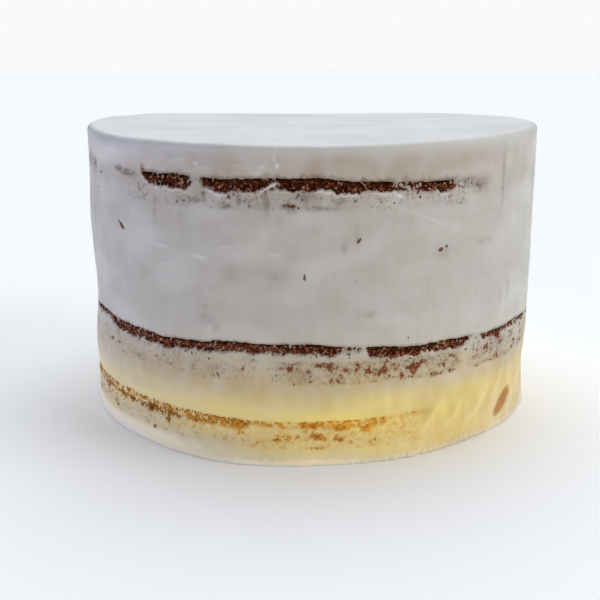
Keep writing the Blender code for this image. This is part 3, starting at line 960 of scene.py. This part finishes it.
def attribute(tree, name):
    made = tree.nodes.new("ShaderNodeAttribute")
    made.attribute_name = name
    return made.outputs["Fac"]


def bumped(tree, shader, layers):
    """Chains bump nodes. layers are (height socket, strength, distance in metres)."""
    normal = None
    for height, strength, distance in layers:
        bump = tree.nodes.new("ShaderNodeBump")
        set_inputs(bump, {"Strength": strength, "Distance": distance})
        tree.links.new(height, bump.inputs["Height"])
        if normal:
            tree.links.new(normal, bump.inputs["Normal"])
        normal = bump.outputs["Normal"]
    tree.links.new(normal, shader.inputs["Normal"])


CREAM_WHITE = (0.90, 0.885, 0.86)  # where the cream is piled up, and where light and highlights are painted on it
CREAM, CREAM_DULL = (0.600, 0.580, 0.545), (0.535, 0.510, 0.470)
BEIGE = (0.44, 0.325, 0.225)
# brown seen through the cream: plain, and golden in the painted reflection of a gold board
FILM_BROWN, FILM_IN_PAINTED_REFLECTION = (0.165, 0.115, 0.080), (0.70, 0.38, 0.06)
# painted reflection of a gold board on the lower cream: yellow, and darker where the cream is beige
PAINTED_REFLECTION_YELLOW, PAINTED_REFLECTION_OCHRE = (0.99, 0.80, 0.21), (0.66, 0.48, 0.17)
STAIN_GOLD = (0.45, 0.195, 0.035)
# chocolate from dark to light: the crumb's random grain, with painted shade in its hollows and painted
# light where it stands out
CHOCOLATE_DARK, CHOCOLATE = (0.026, 0.005, 0.001), (0.085, 0.017, 0.006)
CHOCOLATE_LIGHT = (0.26, 0.095, 0.045)
CREAM_FLECK = (0.46, 0.30, 0.22)
FILMED_CRUMB = (0.40, 0.150, 0.060)
LOOSE_DARK, LOOSE_LIGHT = (0.075, 0.032, 0.018), (0.24, 0.115, 0.060)
# crumb in the painted reflection of a gold board: dark and light
CRUMB_PAINTED_REFLECTION_DARK, CRUMB_PAINTED_REFLECTION = (0.50, 0.18, 0.010), (0.88, 0.43, 0.060)


def cream_material():
    made, tree, shader = material_named("scraped_cream")
    slow = map_range(tree, noise_node(tree, 40, 4.0, (1, 1, 2.0)), 0.36, 0.66)
    fine = map_range(tree, noise_node(tree, 420, 5.0), 0.3, 0.75, 0, 0.4)
    colour = mixed(tree, slow, CREAM, CREAM_DULL)
    colour = mixed(tree, fine, colour, CREAM_DULL)
    colour = mixed(tree, attribute(tree, "beige"), colour, BEIGE)
    # painted light and highlights, and the cream's cloudy lighter patches
    colour = mixed(tree, attribute(tree, "thick"), colour, CREAM_WHITE)
    # painted reflection of a gold board: yellow on the lower cream
    colour = mixed(tree, attribute(tree, "painted_reflection"), colour, PAINTED_REFLECTION_YELLOW)
    # where the cream is beige, the painted reflection of the board turns ochre
    dulled_reflection = times(tree, attribute(tree, "beige"), times(tree, attribute(tree, "painted_reflection"), 0.85))
    colour = mixed(tree, dulled_reflection, colour, PAINTED_REFLECTION_OCHRE)
    smear = map_range(tree, noise_node(tree, 300, 4.0, (1, 1, 1.6)), 0.3, 0.7, 0.55, 1.0)
    # the brown seen through the cream turns golden in the painted reflection of the board
    brown = mixed(tree, map_range(tree, attribute(tree, "painted_reflection"), 0.1, 0.5), FILM_BROWN, FILM_IN_PAINTED_REFLECTION)
    # brown of the sponge through thin cream, and painted shade above the slits
    colour = mixed(tree, times(tree, attribute(tree, "film"), smear), colour, brown)
    colour = mixed(tree, attribute(tree, "stain"), colour, STAIN_GOLD)
    tree.links.new(colour, shader.inputs["Base Color"])
    rough = map_range(tree, noise_node(tree, 160, 3.0), 0.3, 0.7, 0.38, 0.60)
    tree.links.new(rough, shader.inputs["Roughness"])
    bumped(tree, shader, (
        (noise_node(tree, 90, 3.0, (1, 1, 3.0)), 0.35, 0.0006),
        (noise_node(tree, 900, 3.0), 0.18, 0.0003),
    ))
    return made


def sponge_material():
    made, tree, shader = material_named("chocolate_crumb")
    grain = noise_node(tree, 1100, 5.0)
    crumb_tone_and_painted_light = attribute(tree, "crumb_tone_and_painted_light")
    # the crumb's random grain, and its painted light and shade
    lit = calculated(tree, "ADD", times(tree, crumb_tone_and_painted_light, 0.5), grain)
    colour = mixed(tree, map_range(tree, lit, 0.64, 0.86), CHOCOLATE_DARK, CHOCOLATE)
    colour = mixed(tree, map_range(tree, lit, 0.86, 1.02), colour, CHOCOLATE_LIGHT)
    fleck = noise_node(tree, 620, 2.0)
    colour = mixed(tree, map_range(tree, fleck, 0.60, 0.67, 0, 0.9), colour, CREAM_FLECK)
    # crumb in the painted reflection of the gold board, lighter where painted light falls on it
    painted_reflection = mixed(tree, map_range(tree, crumb_tone_and_painted_light, 0.3, 0.75), CRUMB_PAINTED_REFLECTION_DARK, CRUMB_PAINTED_REFLECTION)
    colour = mixed(tree, times(tree, attribute(tree, "film"), 0.5), colour, FILMED_CRUMB)
    colour = mixed(tree, map_range(tree, attribute(tree, "painted_reflection"), 0.18, 0.78), colour, painted_reflection)
    tree.links.new(colour, shader.inputs["Base Color"])
    tree.links.new(map_range(tree, grain, 0.3, 0.7, 0.72, 0.95), shader.inputs["Roughness"])
    set_inputs(shader, {"Specular IOR Level": 0.04})
    bumped(tree, shader, ((noise_node(tree, 1600, 5.0), 0.6, 0.0005),))
    return made


def crumb_material():
    made, tree, shader = material_named("loose_crumb")
    grain = noise_node(tree, 1500, 4.0)
    colour = mixed(tree, map_range(tree, grain, 0.35, 0.65), LOOSE_DARK, LOOSE_LIGHT)
    # loose crumbs in the painted reflection of the gold board
    colour = mixed(tree, map_range(tree, attribute(tree, "painted_reflection"), 0.15, 0.6), colour, CRUMB_PAINTED_REFLECTION)
    tree.links.new(colour, shader.inputs["Base Color"])
    tree.links.new(map_range(tree, grain, 0.3, 0.7, 0.7, 0.9), shader.inputs["Roughness"])
    bumped(tree, shader, ((noise_node(tree, 2500, 3.0), 0.5, 0.0003),))
    return made


# The studio


def add_light(name, direction, strength, colour, angle):
    """A broad soft light from far away. direction points from the cake towards it."""
    data = bpy.data.lights.new(name, "SUN")
    data.energy = strength
    data.color = colour
    data.angle = math.radians(angle)
    made = bpy.data.objects.new(name, data)
    made.rotation_euler = Vector(direction).to_track_quat("Z", "Y").to_euler()
    bpy.context.scene.collection.objects.link(made)


LIGHTS = (  # name, direction towards it, strength, colour and breadth in degrees
    ("overhead", (0.1, 0.42, 1.0), 2.2, (0.93, 0.985, 1.035), 70),
    ("right", (1.0, -0.25, 0.45), 1.1, (0.985, 1.0, 1.02), 40),
    ("left", (-1.0, -0.1, 0.14), 0.9, (0.26, 0.36, 1.0), 50),
    ("front", (0.1, -1.0, 0.2), 0.22, (1.0, 0.78, 0.48), 50),
)
ROOM_COLOUR, ROOM_STRENGTH = (0.93, 0.97, 1.0), 0.22
FLOOR_RADIUS = 6.0
FLOOR_COLOUR = (0.95, 0.94, 0.925)
BACKDROP_COLOUR, BACKDROP_STRENGTH = (1.0, 1.0, 1.0), 0.955
BOUNCE_COLOUR, BOUNCE_POWER, BOUNCE_SIZE = (1.0, 0.84, 0.55), 0.078, 0.30
# The bounce light stands for the light that a board under the cake throws up at its foot
BOUNCE_PLACE = (-45 * MM, -32 * MM, 0.5 * MM)


def stage_object(name, mesh_maker, material):
    mesh = bpy.data.meshes.new(name)
    work = bmesh.new()
    mesh_maker(work)
    work.to_mesh(mesh)
    work.free()
    mesh.materials.append(material)
    made = bpy.data.objects.new(name, mesh)
    bpy.context.scene.collection.objects.link(made)
    return made


def make_studio():
    floor, _, shader = material_named("pale_floor")
    set_inputs(shader, {"Base Color": (*FLOOR_COLOUR, 1), "Roughness": 0.8, "Specular IOR Level": 0.0})
    stage_object(
        "floor",
        lambda b: bmesh.ops.create_circle(b, cap_ends=True, segments=96, radius=FLOOR_RADIUS),
        floor,
    )
    glow, _, shader = material_named("backdrop")
    set_inputs(shader, {"Base Color": (0, 0, 0, 1), "Roughness": 1.0, "Specular IOR Level": 0.0})
    set_inputs(shader, {"Emission Color": (*BACKDROP_COLOUR, 1), "Emission Strength": BACKDROP_STRENGTH})
    dome = stage_object(
        "backdrop",
        lambda b: bmesh.ops.create_uvsphere(b, u_segments=64, v_segments=32, radius=FLOOR_RADIUS),
        glow,
    )
    dome.visible_diffuse = dome.visible_glossy = dome.visible_shadow = False
    world = bpy.data.worlds.new("soft_room")
    world.use_nodes = True
    room = world.node_tree.nodes["Background"]
    set_inputs(room, {"Color": (*ROOM_COLOUR, 1), "Strength": ROOM_STRENGTH})
    bpy.context.scene.world = world
    for light in LIGHTS:
        add_light(*light)
    bounce = bpy.data.lights.new("bounce", "AREA")
    bounce.shape = "DISK"
    bounce.size = BOUNCE_SIZE
    bounce.energy = BOUNCE_POWER
    bounce.color = BOUNCE_COLOUR
    made = bpy.data.objects.new("bounce", bounce)
    made.location = BOUNCE_PLACE
    made.rotation_euler = (math.pi, 0, 0)
    made.visible_camera = False
    bpy.context.scene.collection.objects.link(made)
    bpy.context.scene.view_settings.view_transform = "Standard"


CAMERA_PLACE = (-5.63 * MM, -470 * MM, 162.35 * MM)
CAMERA_PITCH, CAMERA_ROLL = 14.397, -0.107  # degrees down, and round the line of sight
CAMERA_LENS = 59.72


def make_camera():
    data = bpy.data.cameras.new("camera")
    data.sensor_width = 36
    data.lens = CAMERA_LENS
    data.clip_start = 0.01
    made = bpy.data.objects.new("camera", data)
    tilt = Matrix.Rotation(math.radians(90 - CAMERA_PITCH), 4, "X")
    roll = Matrix.Rotation(math.radians(CAMERA_ROLL), 4, "Z")
    made.matrix_world = Matrix.Translation(CAMERA_PLACE) @ tilt @ roll
    bpy.context.scene.collection.objects.link(made)
    bpy.context.scene.camera = made


def main():
    cream = cream_material()
    sponge = sponge_material()
    make_coat(cream)
    for layer in RIMMED:
        make_sponge(layer, sponge)
    make_crumbs(crumb_material())
    for name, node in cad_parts.items():
        node.data.materials.clear()
        node.data.materials.append(sponge if name.startswith("sponge") else cream)
    make_studio()
    make_camera()


main()
